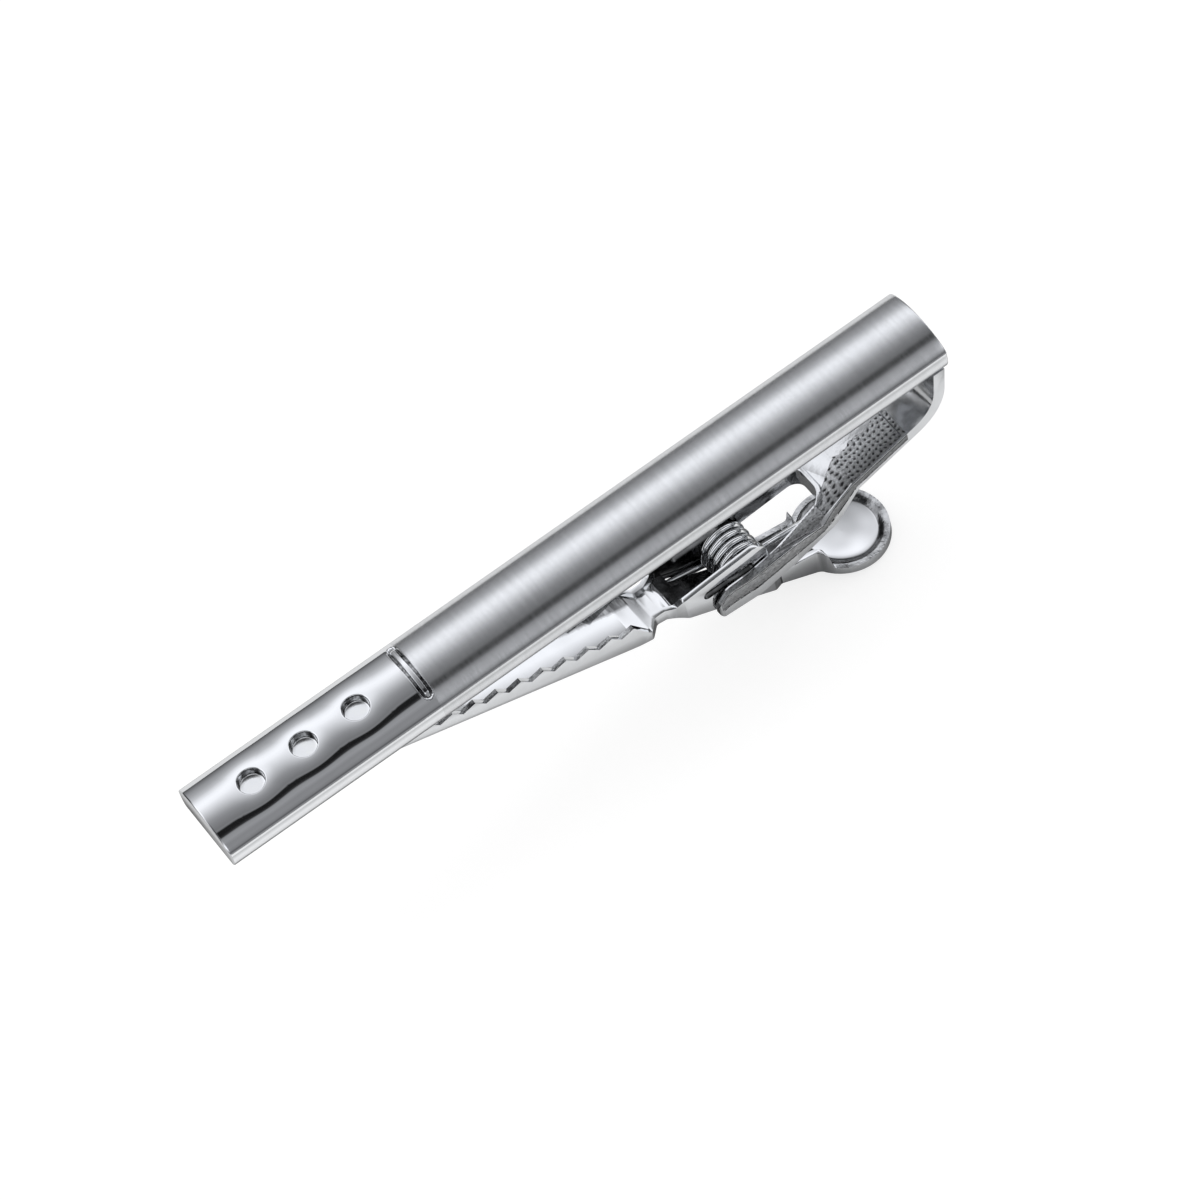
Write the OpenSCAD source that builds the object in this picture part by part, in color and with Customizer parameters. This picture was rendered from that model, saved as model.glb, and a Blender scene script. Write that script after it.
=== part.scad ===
// Sprung tie clip: a half-round show bar with a hooked, forked arm behind it and a toothed pan
// lever that turns on a pin in the fork. X runs along the bar, Z is up out of the bar's face.
// Heights are first set out from the flat back of the bar, and the whole clip is then lifted so
// that the lowest point of its thumb pad lies at zero.

/* [Show bar] */
// Length of the bar
bar_l = 60; // [54:0.5:66]
// Width of the bar
bar_w = 6.5; // [6.2:0.1:7]
// Height of the flat side walls
side_h = 1.7; // [1.4:0.1:2.2]
// Rise of the crown above the side walls
crown_h = 1.2; // [0.8:0.1:1.6]
// Rounding along the back edges
back_r = 0.4; // [0.2:0.05:0.6]

/* [Recesses and groove] */
// Number of round recesses
recess_n = 3; // [1:1:3]
// Diameter of each recess at its floor
recess_d = 1.8; // [1.4:0.1:2.2]
// Depth of each recess below the crown
recess_depth = 0.85; // [0.5:0.05:1.1]
// Distance between recess centres
recess_pitch = 4.3; // [4:0.1:4.6]
// Distance of the first recess from the end
recess_first = 4.1; // [3.6:0.1:4.6]
// Diameter of the shallow dish round each recess
dish_d = 3.8; // [3:0.1:4.2]
// Depth of that dish
dish_depth = 0.2; // [0.1:0.02:0.3]
// Distance of the groove ring from the end
ring_x = 17.1; // [16:0.1:19]
// Length of the ring across the bar
ring_l = 4.9; // [4:0.1:5.2]
// Width of the ring along the bar
ring_w = 0.8; // [0.7:0.05:1]
// Width of the groove that draws the ring
ring_line = 0.22; // [0.15:0.01:0.3]
// Depth of the groove
ring_depth = 0.16; // [0.1:0.01:0.25]

/* [Hooked arm] */
// Width of the arm
arm_w = 6.3; // [6:0.1:6.5]
// Setback of the arm from the bar's end
arm_inset = 0.4; // [0.2:0.05:0.8]
// Thickness of the arm's web
web_t = 0.95; // [0.85:0.05:1.1]
// Drop from the bar's back to the corner of the bend
arm_drop = 4.35; // [4.2:0.05:4.8]
// How far the drop leans in towards the middle
arm_lean = 0.6; // [0.3:0.05:0.9]
// Outside radius of the bend
bend_r = 3.6; // [3.2:0.1:4]
// Length along X from the bend to the shoulder
web_run = 7.8; // [7.4:0.1:8.2]
// Fall of the web over that length
web_fall = 2.25; // [2:0.05:2.5]
// Length along X of the steep step below the shoulder
step_run = 2.2; // [2:0.1:2.5]
// Fall of the step
step_fall = 2.2; // [2:0.1:2.5]
// Length along X from the step to the level end of the prongs
prong_run = 6.8; // [6.4:0.1:7.4]
// Fall of the prongs over that length
prong_fall = 2.2; // [2:0.1:2.5]
// Length of the level end
tip_run = 3.4; // [3:0.1:3.8]
// Height of each prong at its outer edge
prong_t = 1; // [0.95:0.05:1.2]
// Rise of each prong's inner edge above its outer edge
prong_rise = 1.3; // [1.2:0.05:1.4]
// Rounding of each prong's top where it ends
nose_r = 1.6; // [1.2:0.1:1.7]
// Width of the raised rims
rim_w = 0.22; // [0.18:0.01:0.28]
// Depth of the floor below the rims
rim_h = 0.18; // [0.12:0.02:0.2]
// Distance from the arm's shoulder to the end of the fork's gap
crotch_in = 2.2; // [2:0.1:2.6]
// Half width of the fork's gap at its closed end
crotch_hw = 1.6; // [1.5:0.05:1.8]
// Radius in the corners of the fork's gap
crotch_r = 1.1; // [0.8:0.1:1.4]
// How much each prong narrows towards its end
prong_taper = 0.35; // [0.2:0.05:0.45]

/* [Pivot] */
// Diameter of the pivot pin
pin_d = 0.8; // [0.7:0.05:0.9]
// Distance of the pin from the ends of the prongs
pin_in = 3.3; // [3:0.1:3.4]
// Height of the pin above the underside of the prongs
pin_up = 0.8; // [0.7:0.05:0.8]
// Depth of the pin's blind seat in each prong
pin_seat = 0.45; // [0.4:0.05:0.5]
// Running clearance between the pin and the lever
pin_gap = 0.05; // [0.03:0.01:0.08]
// Clearance between the lever and each prong
fork_gap = 0.1; // [0.06:0.01:0.15]

/* [Lever] */
// Thickness of the lever's sheet
sheet_t = 0.4; // [0.35:0.01:0.45]
// Half width of the spring housing
housing_hw = 2.2; // [2.15:0.01:2.3]
// Half width of the jaw at its heel
jaw_hw = 2.35; // [2.2:0.05:2.6]
// Half width of the jaw at its tip
jaw_tip_hw = 1.7; // [1.5:0.05:2]
// Half width of the waist
waist_hw = 1.5; // [1.4:0.05:1.7]
// Half width of the neck
neck_hw = 1.8; // [1.6:0.05:2]
// Distance from the pin to the jaw's tip
jaw_reach = 30.9; // [29:0.1:32]
// Distance from the pin to the jaw's heel
heel_reach = 8.4; // [8.2:0.1:8.8]
// Gap between the closed jaw and the bar
jaw_gap = 0.12; // [0.08:0.01:0.2]
// Number of spaces between the jaw's teeth
tooth_n = 12; // [10:1:14]
// Depth of the teeth
tooth_h = 0.6; // [0.4:0.05:0.7]
// Height of the last tooth above the pin
heel_rise = 4.25; // [4:0.05:4.4]
// Height of the jaw's walls at its heel
heel_h = 2.4; // [2.2:0.05:2.6]
// Height of the jaw's walls at its tip
jaw_tip_h = 0.95; // [0.85:0.05:1.1]
// Height of the waist's walls above the pin
waist_rise = 2.35; // [2.2:0.05:2.5]
// Height of the ears above the pin where they start
ear_start_rise = 3; // [2.8:0.1:3.2]
// Height of the ears above the pin where they end
ear_rise = 3.6; // [3.3:0.1:3.8]
// Length of the ears beyond the pin
ear_reach = 1.5; // [1.3:0.1:1.8]
// Radius of the ears' upper corners
ear_r = 1.1; // [0.8:0.1:1.3]
// Depth of the lever's floor below the pin
floor_drop = 2.1; // [2.05:0.05:2.3]
// Depth of the neck's wall tops below the pin
neck_drop = 1.95; // [1.8:0.05:2.1]
// Fall of those tops from the ears to the pad
neck_fall = 0.8; // [0.6:0.05:1]
// Length of the slot in each wall
slot_l = 4.2; // [3.8:0.1:4.4]
// Height of the slot
slot_h = 0.85; // [0.7:0.05:0.9]
// Height of the slot above the pin
slot_rise = 1.9; // [1.8:0.05:2]
// Distance from the pin to the far end of the slot
slot_reach = 3.5; // [3.3:0.1:3.6]
// Length of the opening in the floor that lets the spring out under the jaw
gate_l = 4.2; // [4:0.1:4.5]
// Width of that opening
gate_w = 1.1; // [1:0.05:1.15]
// Distance from the jaw's heel to the opening
gate_in = 3.5; // [3.3:0.1:3.6]

/* [Thumb pad] */
// Radius of the pad
pad_r = 3.55; // [3.3:0.05:3.8]
// Distance from the pin to the pad's centre
pad_reach = 8.4; // [8.2:0.1:8.8]
// Depth of the pad's rim below the pin at its centre
pad_drop = 4.7; // [4.5:0.05:4.9]
// Tilt of the pad
pad_tilt = 7; // [4:0.5:9]
// Height of the pad's wall
pad_h = 0.75; // [0.7:0.05:0.95]
// Depth of the dish in the pad's floor
pad_dish = 0.2; // [0.1:0.02:0.24]
// Fillet where the neck meets the pad
join_r = 0.5; // [0.3:0.05:0.7]

/* [Spring] */
// Diameter of the wire
wire_d = 0.5; // [0.46:0.01:0.52]
// Outside diameter of the coil
coil_d = 3; // [2.8:0.05:3.05]
// Height of the coil's middle above the pin, which it hangs on loosely
coil_rise = 0.2; // [0.15:0.05:0.3]
// Distance between neighbouring turns along the pin
coil_pitch = 0.94; // [0.93:0.01:0.96]
// Clearance between the spring's ends and what they press on
leg_gap = 0.08; // [0.05:0.01:0.12]
// How far the arm's end of the spring runs on past the place where it presses
leg_over = 0.7; // [0.5:0.05:0.9]
// Distance of each end of the spring from the middle of the clip
leg_in = 0.6; // [0.5:0.05:0.7]

/* [Hidden] */
$fn = 64;
// Overrun of every cut past the face that it leaves
over = 0.6;
// Steps in each rounded corner of an outline
corner_steps = 8;
// Steps across the crown from one side to the other
crown_steps = 48;
// Steps round each half of the pad
pad_steps = 36;
// Power that gives the crown its quick fall at the sides
crown_share = 0.75;
// Share of the recess diameter that its walls lean out by at the top
lean_share = 0.08;
// Whole turns of the coil and rings in each turn
coil_turns = 3;
coil_rings = 8;
wire_sides = 6;
// Fillet radii of the arm's shoulder, step and prong, and of its ends
shoulder_r = 1;
step_r = 2.4;
prong_r = 4;
tip_r = 0.4;
// Fillet radii of the lever's plan and side
plan_r = 0.7;
waist_r = 0.35;
floor_r = 2.5;
heel_r = 0.4;
step_top_r = 0.2;
// How far the ears' ends lean along X
ear_lean = 0.4;
// Room left past each face where a blank must clear the part
clear_w = bar_w + over;

// Places that follow from the sizes above, measured from the middle of the bar's back
arm_pts = [
    [bar_l / 2 - arm_inset, 0],
    [bar_l / 2 - arm_inset - arm_lean, -arm_drop],
    [bar_l / 2 - arm_inset - arm_lean - web_run, -arm_drop - web_fall],
    [bar_l / 2 - arm_inset - arm_lean - web_run - step_run, -arm_drop - web_fall - step_fall],
    [bar_l / 2 - arm_inset - arm_lean - web_run - step_run - prong_run,
        -arm_drop - web_fall - step_fall - prong_fall],
    [bar_l / 2 - arm_inset - arm_lean - web_run - step_run - prong_run - tip_run,
        -arm_drop - web_fall - step_fall - prong_fall]
];
arm_radii = [0, bend_r, shoulder_r, step_r, prong_r, tip_r];
inner_t = prong_t + prong_rise;
arm_depths = [web_t, web_t, web_t, (web_t + inner_t) / 2, inner_t, inner_t];
shoulder = arm_pts[2];
prong_end = arm_pts[5];
pin_x = prong_end.x + pin_in;
pin_z = prong_end.y + pin_up;
fork_hw = housing_hw + fork_gap;
pin_l = 2 * (fork_hw + pin_seat);
crotch_x = shoulder.x - crotch_in;
// The sunken floor starts where the bend ends
bend_x = arm_pts[1].x - bend_r;

// The lever's floor, from the jaw's tip to the far side of the pad
tip_x = pin_x - jaw_reach;
heel_x = pin_x - heel_reach;
last_tooth = [heel_x - heel_h / 2, pin_z + heel_rise];
first_tooth = [tip_x, -jaw_gap];
pad_x = pin_x + pad_reach;
pad_z = pin_z - pad_drop;
pad_slope = tan(pad_tilt);
ear_x = pin_x + ear_reach;
neck_x = ear_x + plan_r;
neck_end_x = pad_x - sqrt(pad_r * pad_r - neck_hw * neck_hw) + join_r;
// Shares of the reach from the pin to the heel at which the housing and the waist begin
housing_share = 0.72;
waist_share = 0.9;
housing_x = pin_x - heel_reach * housing_share;
waist_x = pin_x - heel_reach * waist_share;
// Depth of the floor's bend under the heel, as a share of the heel's height
heel_floor_share = 1.12;
floor_pts = [
    [tip_x, -jaw_gap - jaw_tip_h],
    [last_tooth.x, last_tooth.y - heel_h],
    [heel_x, last_tooth.y - heel_h * heel_floor_share],
    [housing_x, last_tooth.y - heel_h * heel_floor_share - sheet_t],
    [pin_x, pin_z - floor_drop],
    [pad_x - pad_r + sheet_t, pad_z - pad_h + (pad_r - sheet_t) * pad_slope],
    [pad_x + pad_r + over, pad_z - pad_h - (pad_r + over) * pad_slope]
];
floor_radii = [0, floor_r, floor_r, floor_r, floor_r, plan_r, 0];

// The spring's ends press under the jaw's heel and under the arm at the end of the fork's gap
coil_r = (coil_d - wire_d) / 2;
heel_press = [floor_pts[2].x, floor_pts[2].y - wire_d / 2 - leg_gap];
arm_press = [crotch_x, line_z(arm_pts[2], arm_pts[3], crotch_x) - wire_d / 2 - leg_gap];
coil_z = pin_z + coil_rise;
heel_leg = leg_angle(heel_press - [pin_x, coil_z], coil_r, true);
arm_leg = leg_angle(arm_press - [pin_x, coil_z], coil_r, false);
wrap = coil_turns * 360 + arm_leg - heel_leg;
coil_l = coil_pitch * wrap / 360;

// Lift that puts the pad's lowest point at zero
lift = -(pad_z - pad_h - pad_r * pad_slope);

function unit(v) = v / norm(v);
function left_of(v) = [-v.y, v.x];
function line_z(a, b, x) = a.y + (b.y - a.y) * (x - a.x) / (b.x - a.x);

// Heading of a wire that leaves a circle of radius r and runs to p, or comes from p
function leg_angle(p, r, from_p) =
    let (a = atan2(p.y, p.x), b = asin(r / norm(p)))
    from_p ? a + 180 - b - 360 : a + b;

// Points of one rounded corner at b
function corner(a, b, c, r) =
    let (u = unit(b - a), v = unit(c - b), turn = acos(min(1, u * v)), s = sign(cross(u, v)))
    r <= 0 || turn < 0.01 ? [b] :
    let (p = b - u * r * tan(turn / 2), o = p + left_of(u) * s * r, w = p - o)
    [for (i = [0:corner_steps]) let (t = s * turn * i / corner_steps)
        o + [w.x * cos(t) - w.y * sin(t), w.x * sin(t) + w.y * cos(t)]];

// A closed outline with each corner rounded to its own radius
function rounded(pts, radii) =
    let (n = len(pts))
    [for (i = [0:n - 1]) each corner(pts[(i + n - 1) % n], pts[i], pts[(i + 1) % n], radii[i])];

// An open line moved sideways, by its own distance at each point
function beside(pts, depths) =
    let (n = len(pts))
    [for (i = [0:n - 1])
        let (u = unit(pts[max(i, 1)] - pts[max(i, 1) - 1]),
             v = unit(pts[min(i, n - 2) + 1] - pts[min(i, n - 2)]),
             a = left_of(u), b = left_of(v))
        pts[i] + depths[i] * (a + b) / (1 + a * b)];

// Fillet radii on the moved line, tighter inside a bend and wider outside it
function radii_beside(pts, radii, depths) =
    let (n = len(pts))
    [for (i = [0:n - 1])
        i == 0 || i == n - 1 ? radii[i] :
        let (s = sign(cross(pts[i] - pts[i - 1], pts[i + 1] - pts[i])))
        max(depths[i] / 2, radii[i] - s * depths[i])];

function reversed(list) = [for (i = [len(list) - 1:-1:0]) list[i]];

// A plan outline that is given for one side, closed with its mirror image
function symmetric(half) = concat(half, reversed([for (p = half) [p.x, -p.y]]));

module plan_shape(half, radii) {
    polygon(rounded(symmetric(half), concat(radii, reversed(radii))));
}

// A side outline in X and Z, given the width w that it runs across
module across(w) {
    rotate([90, 0, 0]) linear_extrude(w, center = true) children();
}

// A plan outline in X and Y, run down past everything
module down() {
    depth = lift + over;
    translate([0, 0, -depth]) linear_extrude(depth + over) children();
}

// Half-round section of the bar, sunk by a given depth below the true surface
module bar_section(sink = 0) {
    crown = [for (i = [0:crown_steps])
        let (y = -bar_w / 2 + bar_w * i / crown_steps, s = 2 * y / bar_w)
        [y, side_h - sink + crown_h * pow(max(0, 1 - s * s), crown_share)]];
    pts = concat(crown, [[bar_w / 2, 0], [-bar_w / 2, 0]]);
    polygon(rounded(pts, [for (i = [0:len(pts) - 1]) i > crown_steps ? back_r : 0]));
}

module bar_blank(sink = 0) {
    rotate([90, 0, 90]) linear_extrude(bar_l, center = true) bar_section(sink);
}

// A slender ring outline that lies across the bar
module stadium(l, w) {
    straight = l - w;
    square([w, straight], center = true);
    for (s = [-1, 1]) translate([0, s * straight / 2]) circle(d = w);
}

module recess() {
    top = side_h + crown_h;
    dish_r = (dish_d * dish_d / 4 + dish_depth * dish_depth) / (2 * dish_depth);
    translate([0, 0, top - recess_depth])
        cylinder(h = recess_depth + over, d1 = recess_d,
            d2 = recess_d * (1 + 2 * lean_share * (recess_depth + over) / recess_depth));
    translate([0, 0, top - dish_depth + dish_r]) sphere(r = dish_r, $fn = 96);
}

module front_bar() {
    color([0.72, 0.73, 0.75])
    difference() {
        bar_blank();
        for (i = [0:recess_n - 1])
            translate([-bar_l / 2 + recess_first + i * recess_pitch, 0, 0]) recess();
        difference() {
            translate([-bar_l / 2 + ring_x, 0, side_h]) linear_extrude(crown_h + over)
                difference() {
                    stadium(ring_l, ring_w);
                    stadium(ring_l - 2 * ring_line, ring_w - 2 * ring_line);
                }
            bar_blank(ring_depth);
        }
    }
}

// Side outline of the arm, from the bar's back round to the ends of the prongs
module arm_side() {
    upper = beside(arm_pts, -arm_depths);
    upper_radii = radii_beside(arm_pts, arm_radii, -arm_depths);
    root = [[upper[0].x, 0]];
    polygon(rounded(concat(arm_pts, reversed([for (i = [1:5]) upper[i]]), root),
        concat(arm_radii, [nose_r], reversed([for (i = [1:4]) upper_radii[i]]), [0])));
}

// Space above the arm's sunken floor, between its rims
module arm_pocket_side() {
    depths = [for (t = arm_depths) rim_h - t];
    low = beside(arm_pts, depths);
    radii = radii_beside(arm_pts, arm_radii, depths);
    floor = [low[1], low[2], low[3]];
    high = [for (p = floor) [p.x, over]];
    polygon(rounded(concat(floor, reversed(high)), [radii[1], radii[2], 0, 0, 0, 0]));
}

// Space above the prongs' sloping tops, sunk by a given depth
module prong_tops(sink = 0) {
    slope = atan(prong_rise / (arm_w / 2 - fork_hw));
    depths = [for (p = arm_pts) sink - inner_t];
    low = beside(arm_pts, depths);
    radii = radii_beside(arm_pts, arm_radii, depths);
    run = [for (i = [2:5]) [low[i].x, low[i].y * cos(slope)]];
    past = [run[3].x - over, run[3].y];
    for (side = [0, 1]) mirror([0, side, 0])
        translate([0, fork_hw, 0]) rotate([90 - slope, 0, 0])
            linear_extrude(2 * clear_w, center = true)
                polygon(rounded(concat(run, [past, [past.x, over], [run[0].x, over]]),
                    [0, radii[3], radii[4], 0, 0, 0, 0]));
}

// Plan of the arm before its fork is cut
module arm_outline() {
    w = arm_w / 2;
    plan_shape([[arm_pts[0].x, w], [pin_x + tip_run, w], [prong_end.x, w - prong_taper]],
        [0, prong_r, prong_taper]);
}

module arm_plan() {
    difference() {
        arm_outline();
        plan_shape([[prong_end.x - over, fork_hw], [neck_x, fork_hw], [crotch_x, crotch_hw]],
            [0, plan_r, crotch_r]);
    }
}

// Plan of the sunken floor, which stops short of the bend and leaves a rim all round
module arm_pocket_plan() {
    w = arm_w / 2 - rim_w;
    end = prong_end.x + rim_w;
    difference() {
        plan_shape([[bend_x, w], [pin_x + tip_run, w], [end, w - prong_taper]], [rim_w, prong_r, 0]);
        plan_shape([[end - over, fork_hw + rim_w], [neck_x, fork_hw + rim_w],
            [crotch_x + rim_w, crotch_hw + rim_w]], [0, plan_r, crotch_r]);
    }
}

module hook_arm() {
    color([0.62, 0.63, 0.65])
    difference() {
        intersection() {
            across(clear_w) arm_side();
            down() arm_plan();
        }
        intersection() {
            across(clear_w) arm_pocket_side();
            down() arm_pocket_plan();
        }
        prong_tops();
        intersection() {
            prong_tops(rim_h);
            down() arm_pocket_plan();
        }
        translate([pin_x, 0, pin_z]) across_pin(pin_d, pin_l);
    }
}

// Round pin or bore of a given length across the fork
module across_pin(d, l = clear_w) {
    rotate([90, 0, 0]) cylinder(h = l, d = d, center = true);
}

// Fillet between the neck's side and the round pad, moved in by the wall's thickness
function join_arc(wall) =
    let (reach = pad_r + join_r, y = neck_hw + join_r,
         c = [pad_x - sqrt(reach * reach - y * y), y], stop = atan2(-y, pad_x - c.x))
    [for (i = [0:corner_steps]) let (t = -90 + (stop + 90) * i / corner_steps)
        c + (join_r + wall) * [cos(t), sin(t)]];

// Outer half of the round pad, from the fillet to its far side
function pad_arc(wall) =
    let (start = 180 - asin((neck_hw + join_r) / (pad_r + join_r)))
    [for (i = [1:pad_steps]) let (t = start * (1 - i / (pad_steps + 0.5)))
        [pad_x + (pad_r - wall) * cos(t), (pad_r - wall) * sin(t)]];

// Plan of the lever, drawn in by the thickness of its wall
module lever_plan(wall = 0) {
    sides = [[tip_x + wall, jaw_tip_hw - wall], [heel_x - plan_r, jaw_hw - wall],
        [heel_x, jaw_hw - wall], [waist_x, waist_hw - wall],
        [housing_x - plan_r, waist_hw - wall], [housing_x + plan_r, housing_hw - wall],
        [ear_x, housing_hw - wall], [neck_x, neck_hw - wall]];
    radii = [plan_r, 0, waist_r, waist_r, waist_r, waist_r, waist_r, waist_r];
    round_end = concat(join_arc(wall), pad_arc(wall));
    plan_shape(concat(sides, round_end), concat(radii, [for (p = round_end) 0]));
}

// Top edge of the lever's walls, teeth first, each point with its fillet radius
function wall_top() =
    let (step = (last_tooth - first_tooth) / tooth_n, up = left_of(unit(step)),
         teeth = [for (i = [0:tooth_n - 1])
            each [first_tooth + step * i, first_tooth + step * (i + 0.5) - up * tooth_h]],
         waist_top = pin_z + waist_rise,
         ear_low = pin_z + ear_start_rise,
         neck_top = pin_z - neck_drop,
         rim_slope = -tan(pad_tilt))
    concat(
        [for (p = teeth) [p, 0]],
        [[last_tooth, 0],
         [[heel_x, waist_top], heel_r],
         [[housing_x, waist_top], heel_r],
         [[housing_x + ear_low - waist_top, ear_low], heel_r],
         [[ear_x, pin_z + ear_rise], ear_r],
         [[ear_x + ear_lean, neck_top], heel_r],
         [[neck_end_x, neck_top - neck_fall], step_top_r],
         [[neck_end_x + step_top_r, pad_z + rim_slope * (neck_end_x + step_top_r - pad_x)], step_top_r],
         [[pad_x + pad_r + over, pad_z + rim_slope * (pad_r + over)], 0]]);

module lever_side() {
    top = wall_top();
    polygon(rounded(
        concat(floor_pts, reversed([for (p = top) p[0]])),
        concat(floor_radii, reversed([for (p = top) p[1]]))));
}

// Space above the lever's floor
module lever_hollow_side() {
    depths = [for (p = floor_pts) sheet_t];
    low = beside(floor_pts, depths);
    roof = over;
    polygon(rounded(concat(low, [[pad_x + pad_r + over, roof], [tip_x, roof]]),
        concat(radii_beside(floor_pts, floor_radii, depths), [0, 0])));
}

// Slot with round ends through both of the housing's walls
module wall_slot() {
    straight = slot_l - slot_h;
    for (x = [0, straight]) translate([x, 0, 0]) across_pin(slot_h);
    translate([straight / 2, 0, 0]) cube([straight, clear_w, slot_h], center = true);
}

// Ball that scoops the pad's floor into a shallow dish
module pad_scoop() {
    r = pad_r - 2 * sheet_t;
    ball_r = (r * r + pad_dish * pad_dish) / (2 * pad_dish);
    translate([pad_x, 0, pad_z - pad_h + sheet_t]) rotate([0, pad_tilt, 0])
        intersection() {
            translate([0, 0, ball_r - pad_dish]) sphere(r = ball_r);
            cylinder(h = 2 * pad_dish, r = r, center = true);
        }
}

module jaw_lever() {
    gate_x = heel_x + gate_in;
    gate_share = (gate_in + gate_l / 2) / heel_reach;
    gate_y = leg_in + (coil_l / 2 - leg_in) * gate_share;
    color([0.8, 0.81, 0.83])
    difference() {
        intersection() {
            across(clear_w + pad_r) lever_side();
            down() lever_plan();
        }
        intersection() {
            across(clear_w + pad_r) lever_hollow_side();
            down() lever_plan(sheet_t);
        }
        translate([pin_x, 0, pin_z]) across_pin(pin_d + 2 * pin_gap);
        translate([pin_x - slot_reach, 0, pin_z + slot_rise]) wall_slot();
        translate([gate_x, gate_y - gate_w / 2, pin_z - floor_drop - over])
            cube([gate_l, gate_w, floor_drop + waist_rise]);
        pad_scoop();
    }
}

// Middle line of the spring: one end, the coil and the other end
function spring_line() =
    let (first = heel_leg - 90, rings = round(coil_rings * wrap / 360),
         coil = [for (i = [0:rings]) let (t = first + wrap * i / rings)
            [pin_x + coil_r * cos(t), coil_l / 2 - coil_l * i / rings, coil_z + coil_r * sin(t)]],
         heel_dir = [cos(heel_leg), 0, sin(heel_leg)],
         arm_dir = [cos(arm_leg), 0, sin(arm_leg)],
         arm_len = norm([arm_press.x - coil[rings].x, arm_press.y - coil[rings].z]) + leg_over)
    concat(
        [[heel_press.x, leg_in, heel_press.y], coil[0] - heel_dir * wire_d],
        coil,
        [coil[rings] + arm_dir * wire_d,
         [coil[rings].x + arm_dir.x * arm_len, -leg_in, coil[rings].z + arm_dir.z * arm_len]]);

// One unbroken tube of triangles along a line
module tube(line, d, sides) {
    n = len(line);
    rings = [for (i = [0:n - 1])
        let (t = unit(line[min(i + 1, n - 1)] - line[max(i - 1, 0)]),
             a = unit(cross(t, [0, 1, 0])), b = cross(t, a))
        for (k = [0:sides - 1]) let (w = 360 * k / sides)
            line[i] + d / 2 * (a * cos(w) + b * sin(w))];
    skin = [for (i = [0:n - 2]) for (k = [0:sides - 1])
        let (p = i * sides + k, q = i * sides + (k + 1) % sides)
        each [[p, q, p + sides], [q, q + sides, p + sides]]];
    end = (n - 1) * sides;
    caps = [for (k = [1:sides - 2]) each [[0, k + 1, k], [end, end + k, end + k + 1]]];
    polyhedron(points = rings, faces = [for (f = concat(skin, caps)) reversed(f)]);
}

module torsion_spring() {
    color([0.55, 0.56, 0.58]) tube(spring_line(), wire_d, wire_sides);
}

// Least gap between two stretches of the spring more than half a turn apart
function spring_gap() =
    let (line = spring_line(), n = len(line), skip = coil_rings / 2)
    min([for (i = [0:n - 1]) for (j = [i + skip:1:n - 1]) norm(line[i] - line[j])]) - wire_d;

// The pin's ends sit in blind holes, so that the prongs' outer faces stay smooth
module pivot_pin() {
    color([0.7, 0.71, 0.73]) translate([pin_x, 0, pin_z]) across_pin(pin_d, pin_l);
}

module placed() {
    translate([0, 0, lift]) children();
}

echo(spring_least_gap = spring_gap(), pin = [pin_x, pin_z + lift], lift = lift, legs = [heel_leg, arm_leg]);

placed() front_bar();
placed() hook_arm();
placed() jaw_lever();
placed() torsion_spring();
placed() pivot_pin();
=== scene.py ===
import math

import bmesh
import bpy
import numpy as np
from mathutils import Matrix, Vector
from mathutils.bvhtree import BVHTree


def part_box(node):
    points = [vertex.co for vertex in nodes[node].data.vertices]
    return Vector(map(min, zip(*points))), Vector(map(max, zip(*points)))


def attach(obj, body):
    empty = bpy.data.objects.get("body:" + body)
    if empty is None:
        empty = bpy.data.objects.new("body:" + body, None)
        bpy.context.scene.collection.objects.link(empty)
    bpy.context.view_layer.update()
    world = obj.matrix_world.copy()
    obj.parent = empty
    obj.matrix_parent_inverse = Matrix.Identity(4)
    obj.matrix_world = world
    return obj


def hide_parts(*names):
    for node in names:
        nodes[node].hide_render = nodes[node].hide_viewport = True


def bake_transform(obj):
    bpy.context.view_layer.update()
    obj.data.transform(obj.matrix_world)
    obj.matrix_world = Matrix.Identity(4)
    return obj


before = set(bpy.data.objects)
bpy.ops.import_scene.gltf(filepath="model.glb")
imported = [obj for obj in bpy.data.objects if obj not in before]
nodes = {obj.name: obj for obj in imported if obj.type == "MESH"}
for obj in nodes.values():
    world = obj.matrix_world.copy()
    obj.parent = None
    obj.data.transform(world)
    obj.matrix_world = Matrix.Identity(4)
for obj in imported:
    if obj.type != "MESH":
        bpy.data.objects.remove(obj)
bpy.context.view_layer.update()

# The camera stands 0.4 m off, above the near side and a little towards the jaw's end.
# Its lens and small shift place the clip as the photograph frames it.
MM = 0.001
back_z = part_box("front_bar")[0][2]
side_height = 1.7 * MM
toward = Vector((-0.185, -0.5046, 0.8433)).normalized()
right = Vector((0.8043, -0.5708, -0.1651))
right = (right - toward * right.dot(toward)).normalized()
above = toward.cross(right)
camera_distance, camera_right, camera_down = 0.4004, 0.00228, 0.002045
camera_data = bpy.data.cameras.new("camera")
camera_data.sensor_width = 36
camera_data.lens = 177.63
camera_data.clip_start = 0.01
camera = bpy.data.objects.new("camera", camera_data)
bpy.context.scene.collection.objects.link(camera)
aim = Vector((0, 0, back_z + side_height))
camera_place = aim + toward * camera_distance + right * camera_right - above * camera_down
camera_turn = Matrix((right, above, toward)).transposed().to_4x4()
camera.matrix_world = Matrix.Translation(camera_place) @ camera_turn
bpy.context.scene.camera = camera
bpy.context.scene.view_settings.view_transform = "Standard"


# A white studio table just under the thumb pad. The camera sees plain white with the clip's
# faint shadow, and only reflections show the grey and white strips that lie side by side.
def finish_nodes(name):
    finish = bpy.data.materials.new(name)
    finish.use_nodes = True
    tree = finish.node_tree
    tree.nodes.clear()
    out = tree.nodes.new("ShaderNodeOutputMaterial")
    return finish, tree, out


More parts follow.
